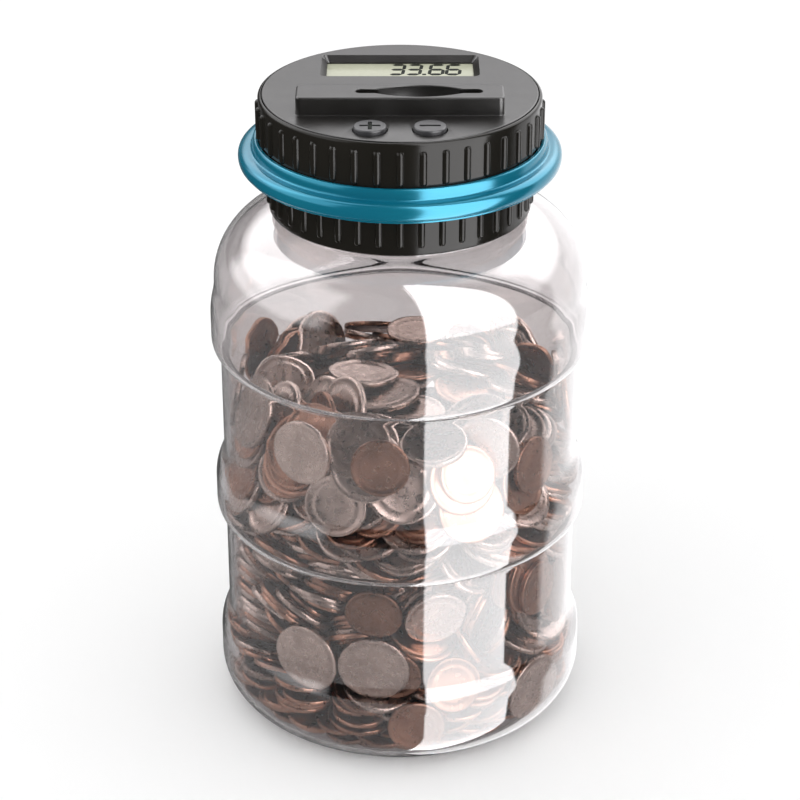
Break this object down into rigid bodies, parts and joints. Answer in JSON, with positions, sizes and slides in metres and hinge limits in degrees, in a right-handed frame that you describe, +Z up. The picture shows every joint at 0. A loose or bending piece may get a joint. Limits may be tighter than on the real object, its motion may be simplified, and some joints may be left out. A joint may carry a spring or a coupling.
{
  "type": "coin counting jar",
  "caption": "Clear coin jar with a ribbed black screw lid, which holds a coin slot, a small display and push buttons, filled with loose coins.",
  "frame": {"origin": "middle of the jar's base, on the surface it stands on", "axes": "+Z up along the jar's axis, -Y towards the buttons and the viewer, +X to the viewer's right"},
  "size_m": [0.1268, 0.1268, 0.228],
  "materials": {
    "clear_plastic": "clear blown plastic with a faint pink-grey tint",
    "black_plastic": "glossy black moulded plastic",
    "deck_plastic": "satin black moulded plastic with a fine grain",
    "button_plastic": "satin dark grey plastic",
    "inner_plastic": "matt black moulded plastic",
    "lever_plastic": "natural white low-friction plastic",
    "ring_metal": "teal-blue anodised metallic finish",
    "liner_foam": "pale closed-cell foam",
    "display_glass": "pale olive liquid crystal display with dark digits",
    "spring_steel": "plated steel",
    "circuit_board": "green solder mask",
    "chip_resin": "black potting resin",
    "connector_rubber": "striped conductive rubber",
    "battery_jacket": "plain printed steel battery jacket",
    "silver_coin": "circulated cupronickel coins",
    "copper_coin": "circulated copper-plated coins"
  },
  "bodies": {
    "jar": {"jar_bottle": "clear_plastic", "coin_pile": "silver_coin"},
    "seal": {"seal_liner": "liner_foam"},
    "lid": {"deck_plate": "deck_plastic", "cap_rim": "black_plastic", "trim_ring": "ring_metal", "screw_collar": "black_plastic", "inner_cover": "inner_plastic", "lcd_panel": "display_glass", "lcd_frame": "inner_plastic", "lcd_connector": "connector_rubber", "main_board": "circuit_board", "processor_blob": "chip_resin", "dome_switch_plus": "spring_steel", "dome_switch_minus": "spring_steel", "coin_chute": "inner_plastic", "lever_pin": "spring_steel", "lever_spring": "spring_steel", "position_sensor": "chip_resin", "battery_front": "battery_jacket", "battery_rear": "battery_jacket", "contact_plate": "spring_steel", "contact_spring_front": "spring_steel", "contact_spring_rear": "spring_steel", "cover_screw_1": "spring_steel", "cover_screw_2": "spring_steel", "cover_screw_3": "spring_steel", "cover_screw_4": "spring_steel"},
    "plus_key": {"button_plus": "button_plastic"},
    "minus_key": {"button_minus": "button_plastic"},
    "lever": {"gauge_lever": "lever_plastic"},
    "door": {"battery_door": "inner_plastic"}
  },
  "joints": [
    {"name": "lid_rise", "type": "slide", "parent": "jar", "child": "seal", "axis": [0, 0, 1], "range_m": [0, 0.018]},
    {"name": "lid_turn", "type": "hinge", "parent": "seal", "child": "lid", "pos_m": [0, 0, 0.2], "axis": [0, 0, 1], "range_deg": [0, 540]},
    {"name": "plus_press", "type": "slide", "parent": "lid", "child": "plus_key", "axis": [0, 0, -1], "range_m": [0, 0.001], "stiffness_N_per_m": 400},
    {"name": "minus_press", "type": "slide", "parent": "lid", "child": "minus_key", "axis": [0, 0, -1], "range_m": [0, 0.001], "stiffness_N_per_m": 400},
    {"name": "lever_swing", "type": "hinge", "parent": "lid", "child": "lever", "pos_m": [-0.0175, -0.01625, 0.2095], "axis": [0, 1, 0], "range_deg": [0, 65], "stiffness_Nm_per_rad": 0.004, "springref_deg": -17.19, "deforming": ["lever_spring"]},
    {"name": "door_swing", "type": "hinge", "parent": "lid", "child": "door", "pos_m": [0, -0.00185, 0.2027], "axis": [-1, 0, 0], "range_deg": [0, 80]}
  ],
  "couplings": [
    {"joint": "lid_rise", "follows": "lid_turn", "m_per_rad": 0.0019099}
  ]
}
